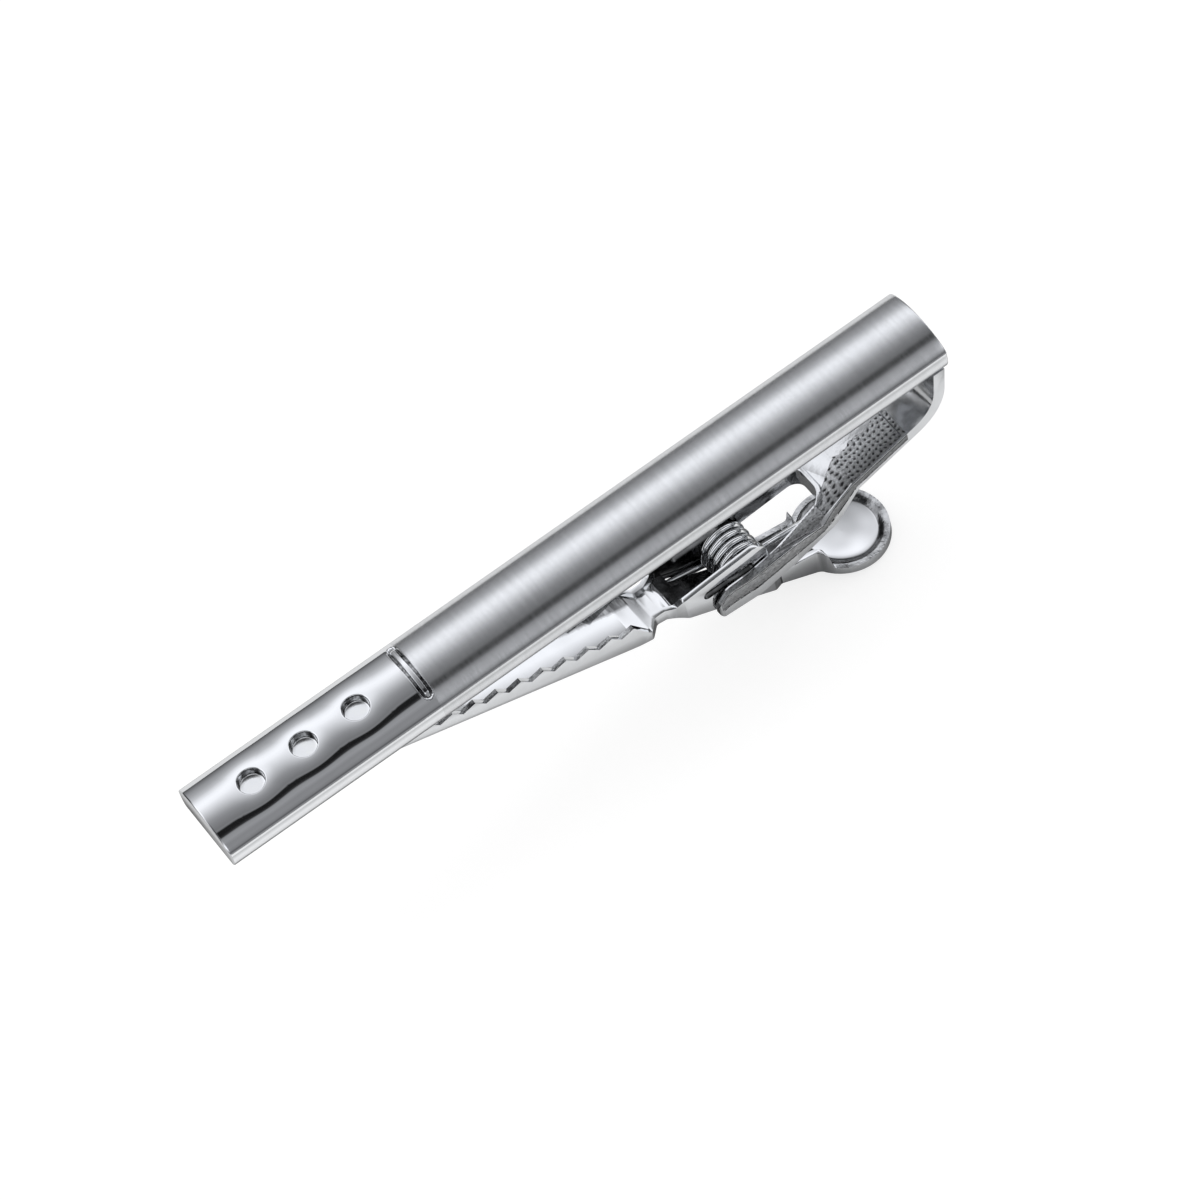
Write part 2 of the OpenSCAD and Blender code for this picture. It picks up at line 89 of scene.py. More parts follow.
def add(tree, kind, inputs=(), **settings):
    item = tree.nodes.new("ShaderNode" + kind)
    for key, value in settings.items():
        setattr(item, key, value)
    for key, value in dict(inputs).items():
        if isinstance(value, bpy.types.NodeSocket):
            tree.links.new(value, item.inputs[key])
        else:
            item.inputs[key].default_value = value
    return item


def brightness_ramp(tree, value, stops):
    ramp = add(tree, "ValToRGB", {0: value})
    keys = ramp.color_ramp.elements
    for i, (at, colour) in enumerate(stops):
        if i == 0:
            key = keys[0]
        elif i == len(stops) - 1:
            key = keys[len(keys) - 1]
        else:
            key = keys.new(at)
        key.position = at
        key.color = (*colour, 1)
    return ramp


def add_mesh(name, vertices, faces, material, smooth=True):
    mesh = bpy.data.meshes.new(name)
    mesh.from_pydata([tuple(v) for v in vertices], [], [tuple(int(i) for i in f) for f in faces])
    mesh.materials.append(material)
    mesh.polygons.foreach_set("use_smooth", [smooth] * len(mesh.polygons))
    mesh.update()
    piece = bpy.data.objects.new(name, mesh)
    bpy.context.scene.collection.objects.link(piece)
    return piece


floor_half, table_z = 3.0, -0.0001
table_grey, seen_grey, seen_glow = 0.93, 0.36, 0.72

# Each strip is a place across the table in mm, towards the far side, and its grey there.
band_half = 50
table_bands = [(-50, 0.2), (-32, 0.22), (-21, 0.5), (-14, 1.0), (-7.5, 0.95), (-4, 0.5), (-1.5, 0.2),
    (12, 0.16), (19, 0.4), (29, 0.75), (50, 0.8)]
bands_end, bands_gone, end_grey = -30, -36, 0.62
floor_white, tree, out = finish_nodes("floor_white")
seen = add(tree, "LightPath")
place = add(tree, "NewGeometry")
axis = add(tree, "SeparateXYZ", {0: place.outputs["Position"]})
across_table = add(tree, "MapRange", {"Value": axis.outputs["Y"], "From Min": -band_half * MM,
    "From Max": band_half * MM})
strips = brightness_ramp(tree, across_table.outputs[0],
    [(y / (2 * band_half) + 0.5, (grey, grey, grey)) for y, grey in table_bands])
shade = add(tree, "SeparateColor", {0: strips.outputs[0]})
past_end = add(tree, "MapRange", {"Value": axis.outputs["X"], "From Min": bands_end * MM,
    "From Max": bands_gone * MM})
shade = add(tree, "Mix", {0: past_end.outputs[0], 2: shade.outputs[0], 3: end_grey}, data_type="FLOAT")
shade = add(tree, "Mix", {0: seen.outputs["Is Glossy Ray"], 2: table_grey, 3: shade.outputs[0]},
    data_type="FLOAT")
colour = add(tree, "CombineColor", {"Red": shade.outputs[0], "Green": shade.outputs[0],
    "Blue": shade.outputs[0]})
matt = add(tree, "BsdfDiffuse", {"Color": colour.outputs[0]})
pale = add(tree, "BsdfDiffuse", {"Color": (seen_grey, seen_grey, seen_grey, 1)})
glow = add(tree, "Emission", {"Color": (1, 1, 1, 1), "Strength": seen_glow})
lit = add(tree, "AddShader", {0: pale.outputs[0], 1: glow.outputs[0]})
shown = add(tree, "MixShader", {0: seen.outputs["Is Camera Ray"], 1: matt.outputs[0], 2: lit.outputs[0]})
tree.links.new(shown.outputs[0], out.inputs[0])
floor_corners = [(-floor_half, -floor_half, table_z), (floor_half, -floor_half, table_z),
    (floor_half, floor_half, table_z), (-floor_half, floor_half, table_z)]
floor = add_mesh("studio_floor", floor_corners, [(0, 1, 2, 3)], floor_white)


# The studio round the clip, which polished metal shows as bands along the bar: a white panel
# high on the far side, a black strip nearly overhead, and greys between. Each band is an
# angle in degrees from straight up towards the far side, and how bright it is there.
def studio_ramp(tree, turn, bands):
    return brightness_ramp(tree, turn, [(degrees / 360 + 0.5, [level * tint for tint in studio_tint])
        for degrees, level in bands])


studio_tint = (0.985, 0.995, 1.03)
ahead = [(-180, 0.85), (-112, 0.8), (-92, 0.45), (-76, 0.2), (-64, 0.11), (-56, 0.22), (-44, 0.27),
    (-33, 0.26), (-25, 0.33), (-18, 0.29), (-15.5, 0.04), (-12, 0.012), (-5.5, 0.012), (-3.5, 0.24),
    (-1, 0.19), (4, 0.225), (10, 0.27), (15, 0.34), (20, 0.46), (26, 0.64), (32, 0.84), (38, 1.04),
    (43, 1.1), (48, 1.02), (53, 0.82), (58, 0.6), (66, 0.42), (74, 0.31), (82, 0.2), (90, 0.07),
    (104, 0.16)]
aside = [(-180, 0.85), (-110, 0.8), (-84, 0.3), (-66, 0.1), (-52, 0.65), (-40, 1.2), (-31, 0.95),
    (-24, 0.5), (-15, 0.15), (-6, 0.08), (8, 0.13), (20, 0.48), (30, 1.1), (46, 1.25), (53, 0.75),
    (60, 0.12), (76, 0.03), (100, 0.04), (116, 0.25), (134, 0.7), (180, 0.85)]

# The first list holds for rays that run across the bar, and the second for rays that lean
# towards its ends. Between the two leans they blend.
lean_middle, ahead_until, aside_from = 0.18, 0.12, 0.34
studio_fill = 0.85
world = bpy.data.worlds.new("studio")
bpy.context.scene.world = world
world.use_nodes = True
tree = world.node_tree
tree.nodes.clear()
out = tree.nodes.new("ShaderNodeOutputWorld")
spot = add(tree, "TexCoord")
parts = add(tree, "SeparateXYZ", {0: spot.outputs["Generated"]})
turn = add(tree, "Math", {0: parts.outputs["Y"], 1: parts.outputs["Z"]}, operation="ARCTAN2")
place = add(tree, "MapRange", {"Value": turn.outputs[0], "From Min": -math.pi, "From Max": math.pi})
ramp_ahead = studio_ramp(tree, place.outputs[0], ahead)
ramp_aside = studio_ramp(tree, place.outputs[0], aside)
off = add(tree, "Math", {0: parts.outputs["X"], 1: -lean_middle}, operation="ADD")
off = add(tree, "Math", {0: off.outputs[0]}, operation="ABSOLUTE")
to_side = add(tree, "MapRange", {"Value": off.outputs[0], "From Min": ahead_until,
    "From Max": aside_from}, interpolation_type="SMOOTHSTEP")
around = add(tree, "Mix", {0: to_side.outputs[0], 6: ramp_ahead.outputs[0], 7: ramp_aside.outputs[0]},
    data_type="RGBA")
studio = add(tree, "Background", {"Color": around.outputs[2], "Strength": 1.0})
plain = add(tree, "Background", {"Color": (1, 1, 1, 1), "Strength": studio_fill})
white = add(tree, "Background", {"Color": (1, 1, 1, 1), "Strength": 1.0})
seen = add(tree, "LightPath")
lit = add(tree, "MixShader", {0: seen.outputs["Is Glossy Ray"], 1: plain.outputs[0], 2: studio.outputs[0]})
shown = add(tree, "MixShader", {0: seen.outputs["Is Camera Ray"], 1: lit.outputs[0], 2: white.outputs[0]})
tree.links.new(shown.outputs[0], out.inputs[0])

# Show bar: a drawn half-round steel bar, satin brushed across its width. Beyond a shallow
# cut ring it is mirror polished, with three drilled recesses in shallow dishes.
low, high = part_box("front_bar")
bar_length = (high[0] - low[0]) / MM
bar_width = (high[1] - low[1]) / MM
half_x, half_y = bar_length / 2, bar_width / 2
corner_z, bar_top = low[2] / MM, high[2] / MM
side_rise = side_height / MM
crease_z = corner_z + side_rise
crown = (high[2] - low[2]) / MM - side_rise
crown_power = 0.75

# The bar's side wall: a share of the way down from the crease, and how far in it lies.
wall_inset = [(0.1, 0.04), (0.2, 0.02), (0.3, 0.008), (0.4, 0), (0.5, 0.003), (0.6, 0.015),
    (0.68, 0.033), (0.76, 0.062), (0.83, 0.098), (0.89, 0.135), (0.94, 0.175), (0.98, 0.225), (1.0, 0.3)]
end_round, end_rows, end_ease = 0.12, 5, 8
recess_first, recess_pitch, recess_count = 4.1, 4.3, 3
recess_radius, recess_depth = 0.9, 0.85
dish_spread, dish_depth = 1.05, 0.18
ring_place, ring_length, ring_width = 17.1, 4.9, 0.8
ring_line, ring_depth = 0.22, 0.16
ring_straight, ring_middle = (ring_length - ring_width) / 2, (ring_width - ring_line) / 2
groove_in, groove_out = 0.06, 0.04
lip_out, lip_width, lip_height = 0.07, 0.05, 0.012
ring_x = -half_x + ring_place
hole_places = [-half_x + recess_first + i * recess_pitch for i in range(recess_count)]


def crown_z(y):
    s = np.clip(2 * np.abs(y) / bar_width, 0, 1)
    return crease_z + crown * (1 - s * s) ** crown_power


def soft_step(value, start, end):
    t = np.clip((value - start) / (end - start), 0, 1)
    return t * t * (3 - 2 * t)


def from_groove(x, y):
    along = np.maximum(np.abs(y) - ring_straight, 0)
    return np.abs(np.hypot(x - ring_x, along) - ring_middle) - ring_line / 2


def face_z(x, y):
    z = crown_z(y)
    for place_x in hole_places:
        away = (x - place_x) ** 2 + y * y
        z = z - dish_depth * np.exp(-away / (2 * dish_spread ** 2))
    off = from_groove(x, y)
    cut = 1 - soft_step(off, -groove_in, groove_out)
    lip = np.exp(-((off - lip_out) / lip_width) ** 2) * lip_height
    return np.minimum(z - ring_depth * cut + lip, bar_top)


def steps(points, spacings):
    line = [points[0]]
    for start, end, gap in zip(points, points[1:], spacings):
        count = max(1, round((end - start) / gap))
        line += [start + (end - start) * (i + 1) / count for i in range(count)]
    return line


# The face is a grid of lines, closer at the ring, and open in a square cell at each recess.
cell, cell_steps, edge_rows = 2.0, 18, 17
plain_step, ring_steps = 0.3, [0.2, 0.025, 0.15, 0.6]
near_ring, past_ring = 0.6, 1.5
hair = 1e-6
cell_line = [-cell + 2 * cell * i / cell_steps for i in range(cell_steps + 1)]
edge_shares = 1 - (np.linspace(1, 0, edge_rows)[:-1]) ** 2
outer = [cell + (half_y - cell) * share for share in edge_shares] + [half_y]
y_line = [-y for y in reversed(outer)] + cell_line + outer
y_line = np.array(sorted(set(round(y, 6) for y in y_line)))
x_line = [-half_x + end_round]
for place_x in hole_places:
    x_line += steps([x_line[-1], place_x - cell], [plain_step])[1:]
    x_line += [place_x + x for x in cell_line[1:]]
x_line += steps([x_line[-1], ring_x - near_ring, ring_x + near_ring, ring_x + past_ring,
    half_x - end_round], ring_steps)[1:]
x_line = np.array(x_line)
vertices, faces = [], []
index = {}


def vertex(x, y, z):
    key = (round(x, 5), round(y, 5), round(z, 5))
    if key not in index:
        index[key] = len(vertices)
        vertices.append((x * MM, y * MM, z * MM))
    return index[key]


def in_cell(x, y):
    return any(abs(x - place_x) < cell - hair for place_x in hole_places) and abs(y) < cell - hair


for x0, x1 in zip(x_line, x_line[1:]):
    for y0, y1 in zip(y_line, y_line[1:]):
        if not in_cell((x0 + x1) / 2, (y0 + y1) / 2):
            corners = [(x0, y0), (x1, y0), (x1, y1), (x0, y1)]
            faces.append([vertex(x, y, float(face_z(x, y))) for x, y in corners])

# Each recess lies in its cell as rings: a radius, how round the ring is between square and
# circle, and how far down to the recess's floor it lies.
rim = [(-1 + 2 * k / cell_steps, -1) for k in range(cell_steps)]
rim = rim + [(-b, a) for a, b in rim] + [(-a, -b) for a, b in rim] + [(b, -a) for a, b in rim]
rings = [(cell, 0, 0.0), (1.85, 0.2, 0.0), (1.7, 0.45, 0.0), (1.55, 0.7, 0.0), (1.4, 0.9, 0.0),
    (1.28, 1, 0.0), (1.18, 1, 0.0), (1.1, 1, 0.0), (1.05, 1, 0.0), (1.015, 1, 0.01), (0.99, 1, 0.045),
    (0.975, 1, 0.1), (0.945, 1, 0.5), (0.915, 1, 0.92), (0.9, 1, 0.965), (0.87, 1, 0.99),
    (0.83, 1, 1.0), (0.6, 1, 1.0), (0.3, 1, 1.0)]
floor_z = bar_top - recess_depth
for place_x in hole_places:
    last = None
    for radius, roundness, sink in rings:
        row = []
        for a, b in rim:
            reach = radius * ((1 - roundness) + roundness / math.hypot(a, b))
            x, y = place_x + a * reach, b * reach
            if radius == cell:
                x = x_line[np.argmin(abs(x_line - x))]
                y = y_line[np.argmin(abs(y_line - y))]
            z = float(face_z(x, y))
            row.append(vertex(x, y, z + (floor_z - z) * sink))
        count = len(row)
        if last:
            for k in range(count):
                faces.append([last[k], last[(k + 1) % count], row[(k + 1) % count], row[k]])
        last = row
    middle = vertex(place_x, 0, floor_z)
    for k in range(count):
        faces.append([last[k], last[(k + 1) % count], middle])

# The sides, the rounded back edges and the eased ends are one skin with the face.
wall = [(half_y - inset, crease_z + (corner_z - crease_z) * share) for share, inset in wall_inset]
under = wall + [(0.0, corner_z)] + [(-y, z) for y, z in reversed(wall)]
skirt = [(half_y, crease_z)] + under + [(-half_y, crease_z)]
for x0, x1 in zip(x_line, x_line[1:]):
    for (y0, z0), (y1, z1) in zip(skirt, skirt[1:]):
        faces.append([vertex(x0, y0, z0), vertex(x0, y1, z1), vertex(x1, y1, z1), vertex(x1, y0, z0)])
outline = [(y, float(crown_z(y))) for y in y_line] + skirt[1:-1]
for side in (-1, 1):
    previous = [(side * (half_x - end_round), y, z) for y, z in outline]
    for t in np.linspace(0, math.pi / 2, end_rows)[1:]:
        inset = end_round * (1 - math.cos(t))
        x = side * (half_x - end_round + end_round * math.sin(t))
        narrower, lower = 1 - inset / half_y, 1 - inset / crease_z * end_ease
        row = [(x, y * narrower, crease_z + (z - crease_z) * lower) for y, z in outline]
        for k in range(len(row)):
            m = (k + 1) % len(row)
            quad = [vertex(*previous[k]), vertex(*previous[m]), vertex(*row[m]), vertex(*row[k])]
            faces.append(quad if side > 0 else quad[::-1])
        previous = row
    faces.append([vertex(*p) for p in (previous if side > 0 else previous[::-1])])

# Steel is a touch bluer than grey. Every finish takes its brightness and its roughness from
# noise, so no two places on a piece are quite alike.
steel_red, steel_blue = 0.985, 1.02


def stretched_noise(tree, place, scale, detail=2.0, roughness=0.5):
    stretch = add(tree, "Mapping", {"Vector": place.outputs["Object"], "Scale": scale})
    return add(tree, "TexNoise", {"Vector": stretch.outputs[0], "Scale": 1.0, "Detail": detail,
        "Roughness": roughness})


def spread(tree, value, low, high):
    return add(tree, "MapRange", {"Value": value.outputs[0], "From Min": 0.3, "From Max": 0.7,
        "To Min": low, "To Max": high})


def relief_of(tree, height, strength, depth):
    return add(tree, "Bump", {"Strength": strength, "Distance": depth * MM, "Height": height.outputs[0]})


def steel(tree, out, level, rough, relief=None, more=()):
    red = add(tree, "Math", {0: level.outputs[0], 1: steel_red}, operation="MULTIPLY")
    blue = add(tree, "Math", {0: level.outputs[0], 1: steel_blue}, operation="MULTIPLY")
    colour = add(tree, "CombineColor", {"Red": red.outputs[0], "Green": level.outputs[0],
        "Blue": blue.outputs[0]})
    inputs = {"Base Color": colour.outputs[0], "Metallic": 1.0, "Roughness": rough.outputs[0]}
    inputs.update(more)
    if relief is not None:
        inputs["Normal"] = relief.outputs[0]
    shine = add(tree, "BsdfPrincipled", inputs)
    tree.links.new(shine.outputs[0], out.inputs[0])


brushed, tree, out = finish_nodes("satin_brushed_steel")
place = add(tree, "TexCoord")
scratches = stretched_noise(tree, place, (9000, 320, 320), 3.0, 0.6)
streaks = stretched_noise(tree, place, (2600, 90, 90), 2.0)
mottle = stretched_noise(tree, place, (4200, 2600, 2600), 1.0)
level = add(tree, "Math", {0: spread(tree, streaks, 0.765, 0.815).outputs[0],
    1: spread(tree, mottle, -0.012, 0.012).outputs[0]}, operation="ADD")
round_bar = add(tree, "Tangent", direction_type="RADIAL", axis="X")
steel(tree, out, level, spread(tree, scratches, 0.21, 0.27), relief_of(tree, scratches, 0.16, 0.02),
    {"Anisotropic": 0.75, "Anisotropic Rotation": 0.25, "Tangent": round_bar.outputs[0]})

polished, tree, out = finish_nodes("mirror_polished_steel")
place = add(tree, "TexCoord")
haze = stretched_noise(tree, place, (500, 500, 500), 3.0)
waves = stretched_noise(tree, place, (260, 420, 420), 1.0)
steel(tree, out, spread(tree, haze, 0.86, 0.89), spread(tree, haze, 0.03, 0.06),
    relief_of(tree, waves, 0.12, 0.05))

# The recess walls and the groove of the cut ring are the bar's steel darkened as painted shade, with tool
# marks and patches.
bore_in_painted_shade, tree, out = finish_nodes("bored_wall_painted_shade")
place = add(tree, "TexCoord")
tool_marks = stretched_noise(tree, place, (400, 400, 9000), 2.0)
patches = stretched_noise(tree, place, (1600, 1600, 2600), 2.0, 0.7)
steel(tree, out, spread(tree, patches, -0.1, 0.62), spread(tree, tool_marks, 0.08, 0.2))

# The recess floors are brighter than the bar's own steel, as painted light.
lit_recess_floor, tree, out = finish_nodes("recess_floor_painted_light")
place = add(tree, "TexCoord")
patches = stretched_noise(tree, place, (1400, 1400, 1400), 2.0)
steel(tree, out, spread(tree, patches, 0.96, 1.0), spread(tree, patches, 0.1, 0.18))

bar = add_mesh("show_bar", vertices, faces, polished)
for finish in (brushed, bore_in_painted_shade, lit_recess_floor):
    bar.data.materials.append(finish)
mirror_part, satin_part, bore_shade_part, lit_floor_part = range(4)
seat_reach, wall_reach, off_back, groove_edge = 0.99 * recess_radius, 1.0, 0.1, 0.02


def bar_finish(x, y, z):
    if from_groove(x, y) < -groove_edge and z > crease_z:
        return bore_shade_part
    away = min(math.hypot(x - place_x, y) for place_x in hole_places)
    if z > corner_z + off_back and away < wall_reach:
        return lit_floor_part if away < seat_reach else bore_shade_part
    return satin_part if x > ring_x + ring_middle else mirror_part


work = bmesh.new()
work.from_mesh(bar.data)
bmesh.ops.recalc_face_normals(work, faces=work.faces)
for face in work.faces:
    face.material_index = bar_finish(*(face.calc_center_median() / MM))
work.to_mesh(bar.data)
work.free()
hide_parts("front_bar")
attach(bar, "clip_frame")

# Hooked arm: a cast arm, soldered behind the bar's end, that forks to hold the hinge. Its
# edges are polished and plated, and its sunken floor keeps the pitted skin of the mould.
weld, flat_angle, edge_angle, ease_rows = 1e-7, math.radians(0.4), math.radians(28), 3
arm_ease = 0.1


def eased_copy(node, name, material, width):
    piece = bpy.data.objects.new(name, nodes[node].data.copy())
    bpy.context.scene.collection.objects.link(piece)
    piece.data.materials.clear()
    piece.data.materials.append(material)
    work = bmesh.new()
    work.from_mesh(piece.data)
    bmesh.ops.remove_doubles(work, verts=work.verts, dist=weld)
    bmesh.ops.dissolve_limit(work, angle_limit=flat_angle, verts=work.verts, edges=work.edges)
    work.to_mesh(piece.data)
    work.free()
    piece.data.polygons.foreach_set("use_smooth", [True] * len(piece.data.polygons))
    ease = piece.modifiers.new("eased_edges", "BEVEL")
    ease.width = width * MM
    ease.segments = ease_rows
    ease.limit_method = "ANGLE"
    ease.angle_limit = edge_angle
    ease.harden_normals = True
    ease.use_clamp_overlap = True
    return piece


def plate(name, low_level, high_level, low_rough, high_rough, wave, wave_scale):
    finish, tree, out = finish_nodes(name)
    place = add(tree, "TexCoord")
    haze = stretched_noise(tree, place, (700, 700, 700), 3.0)
    waves = stretched_noise(tree, place, (wave_scale, wave_scale, wave_scale), 2.0)
    steel(tree, out, spread(tree, haze, low_level, high_level), spread(tree, haze, low_rough, high_rough),
        relief_of(tree, waves, wave, 0.05))
    return finish


cast = plate("plated_casting", 0.68, 0.76, 0.1, 0.2, 0.25, 1400)
nose_painted_shade = plate("casting_painted_shade", 0.03, 0.2, 0.12, 0.3, 0.4, 1400)
arm = eased_copy("hook_arm", "forked_arm", cast, arm_ease)
arm.data.materials.append(nose_painted_shade)

# The fork's two blunt noses have a darker steel, which is painted shade.
nose_end, nose_lean, nose_turn = 13.2, -0.3, 0.5
for face in arm.data.polygons:
    if face.center.x < nose_end * MM and face.normal.x < nose_lean and abs(face.normal.y) < nose_turn:
        face.material_index = 1

# The pitted skin is a thin sheet of its own that covers the floor between the rims.
pit_pitch, pit_depth, pit_flat, pit_power, pit_full = 0.4, 0.06, 0.25, 0.8, 0.8
pits_from, pits_whole, prong_stretch, grit_height = 17.6, 19.4, 1.5, 0.0036
skin_lift, skin_step, jump_limit, skin_edge = 0.07, 0.05, 0.2, -0.4
inner_band, outer_band, skin_in, bend_length = 0.14, 0.15, 0.2, 3.9
shoulder_x, prong_start = 21.0, 18.4
fork_gap, fork_mouth, gap_narrows, narrows_over = 2.3, 14.3, 0.7, 4.5
arm_low, arm_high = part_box("hook_arm")
arm_half = (arm_high[1] - arm_low[1]) / 2 / MM
cast_shape = BVHTree.FromPolygons([v.co for v in nodes["hook_arm"].data.vertices],
    [tuple(p.vertices) for p in nodes["hook_arm"].data.polygons])
under_bar = back_z / MM - 0.4


def cast_hit(x, y, z, way):
    return cast_shape.ray_cast(Vector((x, y, z)) * MM, Vector(way))[0]


skin_x = np.arange(arm_low[0] / MM + skin_in, arm_high[0] / MM - bend_length, skin_step)
skin_y = np.arange(-arm_half + skin_in, arm_half - skin_in + skin_step / 5, skin_step)
floor_at = np.full((len(skin_x), len(skin_y)), np.nan)
for i, x in enumerate(skin_x):
    for j, y in enumerate(skin_y):
        hit = cast_hit(x, y, under_bar, (0, 0, -1))
        if hit is not None:
            floor_at[i, j] = hit.z / MM


def wanted(x, y):
    outer_edge = arm_half - outer_band
    if x > shoulder_x:
        wander = 0.12 * math.sin(3.1 * x) + 0.05 * math.sin(9 * x)
        return -outer_edge < y < skin_edge + wander
    gap_half = fork_gap - gap_narrows * max(0, x - fork_mouth) / narrows_over
    toward_fork = min(1, (shoulder_x - x) / (shoulder_x - prong_start))
    inner_edge = (gap_half + inner_band + skin_edge) * toward_fork - skin_edge
    return -outer_edge < y < -inner_edge


def skin_height(x, y):
    sway_x = x + 0.1 * math.sin(1.9 * y + 0.7 * x) + 0.06 * math.sin(5.3 * y + 1.3)
    sway_y = y + 0.1 * math.sin(1.5 * x + 0.4) + 0.05 * math.sin(4.1 * x + 2 * y)
    stretch = 1.0 if x > shoulder_x else prong_stretch
    wave_x = math.cos(2 * math.pi * sway_x / (pit_pitch * stretch))
    wave_y = math.cos(2 * math.pi * sway_y / pit_pitch)
    size = float(soft_step(x, pits_from, pits_whole))
    pit_and_shade = size * max(0.0, (wave_x + wave_y) / 2 - pit_flat) ** pit_power / pit_full
    grit = grit_height * math.sin(17.3 * x + 3.1 * y) * math.sin(19.7 * y - 2.3 * x)
    return pit_and_shade, skin_lift - pit_depth * pit_and_shade + grit


skin_vertices, skin_faces, pit_and_shade_values = [], [], []
skin_index = {}


def skin_vertex(i, j, under):
    key = (i, j, under)
    if key not in skin_index:
        pit_and_shade, height = skin_height(skin_x[i], skin_y[j])
        skin_index[key] = len(skin_vertices)
        skin_vertices.append((skin_x[i] * MM, skin_y[j] * MM,
            (floor_at[i, j] + (-skin_lift if under else height)) * MM))
        pit_and_shade_values.append(0.0 if under else pit_and_shade)
    return skin_index[key]


on_floor = np.array([[wanted(x, y) for y in skin_y] for x in skin_x]) & ~np.isnan(floor_at)
cells = on_floor[:-1, :-1] & on_floor[1:, :-1] & on_floor[:-1, 1:] & on_floor[1:, 1:]
rows, columns = cells.shape
for shift_x, shift_y in ((1, 0), (0, 1), (1, 1)):
    beyond = floor_at[shift_x:rows + shift_x, shift_y:columns + shift_y]
    cells &= abs(floor_at[:-1, :-1] - beyond) < jump_limit
for i, j in zip(*np.nonzero(cells)):
    corners = [(i, j), (i + 1, j), (i + 1, j + 1), (i, j + 1)]
    skin_faces.append([skin_vertex(a, b, False) for a, b in corners])
    skin_faces.append([skin_vertex(a, b, True) for a, b in reversed(corners)])
    beside = [(i, j - 1), (i + 1, j), (i, j + 1), (i - 1, j)]
    for k, (a, b) in enumerate(beside):
        if not (0 <= a < rows and 0 <= b < columns and cells[a, b]):
            start, end = corners[k], corners[(k + 1) % 4]
            skin_faces.append([skin_vertex(*start, True), skin_vertex(*end, True),
                skin_vertex(*end, False), skin_vertex(*start, False)])

# Along the near edge the skin rolls over, darkening as painted shade as it turns, and ends at a darker
# line of painted shade on the outer wall.
roll_share, roll_most, roll_rows, roll_lift, roll_start, roll_bulge = 0.58, 1.9, 12, 0.05, 0.08, 0.2
roll_line, roll_top, roll_darker, roll_waver = 0.66, 0.12, 0.16, 0.03
probe_in, probe_down, edge_in = 0.75, 0.6, 0.03
previous = None
for x in skin_x:
    inner = cast_hit(x, probe_in - arm_half, under_bar, (0, 0, -1))
    side = inner and cast_hit(x, -2 * arm_half, inner.z / MM - probe_down, (0, 1, 0))
    edge_y = side.y / MM if side else 0
    top = side and cast_hit(x, edge_y + edge_in, under_bar, (0, 0, -1))
    foot = side and cast_hit(x, edge_y + edge_in, 0, (0, 0, 1))
    if not (top and foot) or abs(edge_y + arm_half) > 2 * probe_in or top.z < inner.z - MM:
        previous = None
        continue
    deep = min(roll_most, roll_share * (top.z - foot.z) / MM)
    row = []
    for k in range(roll_rows + 1):
        share = k / roll_rows
        row.append(len(skin_vertices))
        bulge = roll_lift * math.sin(math.pi * min(share + roll_bulge, 1))
        waver = roll_waver * math.sin(7.3 * x + 5 * share) * math.sin(11.1 * x - 3 * share)
        skin_vertices.append((x * MM, (edge_y - bulge) * MM,
            top.z - (roll_start + (deep + waver) * share) * MM))
        pit_and_shade_values.append(roll_line if k >= roll_rows - 1 else roll_top + roll_darker * share)
    if previous:
        for k in range(roll_rows):
            skin_faces.append([previous[k], row[k], row[k + 1], previous[k + 1]])
    previous = row

# Pits are darkened as painted shade. The skin darkens towards the near rim as painted shade, and is evenly
# darker on the prongs.
rim_y, floor_y, rim_level = -2.9, -1.2, 0.42
web_from, web_whole, prong_level = 16.5, 19.5, 0.62
pitted, tree, out = finish_nodes("pitted_casting_skin")
place = add(tree, "TexCoord")
depth = add(tree, "Attribute", attribute_name="pit_and_shade")
grain = stretched_noise(tree, place, (3600, 6500, 6500), 3.0, 0.75)
level = add(tree, "MapRange", {"Value": depth.outputs["Fac"], "From Min": 0.0, "From Max": 0.7,
    "To Min": 0.72, "To Max": 0.1})
spot = add(tree, "SeparateXYZ", {0: place.outputs["Object"]})
toward_rim = add(tree, "MapRange", {"Value": spot.outputs["Y"], "From Min": rim_y * MM,
    "From Max": floor_y * MM, "To Min": rim_level, "To Max": 1.0})
on_web = add(tree, "MapRange", {"Value": spot.outputs["X"], "From Min": web_from * MM,
    "From Max": web_whole * MM})
toward_rim = add(tree, "Mix", {0: on_web.outputs[0], 2: prong_level, 3: toward_rim.outputs[0]},
    data_type="FLOAT")
level = add(tree, "Math", {0: level.outputs[0], 1: toward_rim.outputs[0]}, operation="MULTIPLY")
level = add(tree, "Math", {0: level.outputs[0], 1: spread(tree, grain, 0.4, 1.5).outputs[0]},
    operation="MULTIPLY")
steel(tree, out, level, spread(tree, grain, 0.25, 0.45), relief_of(tree, grain, 0.5, 0.03))
skin = add_mesh("pitted_floor", skin_vertices, skin_faces, pitted)
skin.data.attributes.new("pit_and_shade", "FLOAT", "POINT").data.foreach_set("value", pit_and_shade_values)
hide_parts("hook_arm")
for piece in (arm, skin):
    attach(piece, "clip_frame")

# Jaw lever: one blank of thin steel sheet, stamped and folded into a toothed channel, ears
# for the hinge, a neck and a round thumb pad, then plated to a mirror.
pin_low, pin_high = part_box("pivot_pin")
hinge_x, hinge_z = (pin_low[0] + pin_high[0]) / 2 / MM, (pin_low[2] + pin_high[2]) / 2 / MM
lever_ease = 0.08
mirror = plate("mirror_plate", 0.74, 0.8, 0.05, 0.11, 0.3, 500)
shaded = plate("shaded_sheet", 0.03, 0.2, 0.12, 0.3, 0.5, 900)
sheared_and_shaded = plate("sheared_edge_painted_shade", 0.15, 0.95, 0.15, 0.4, 1.0, 4200)
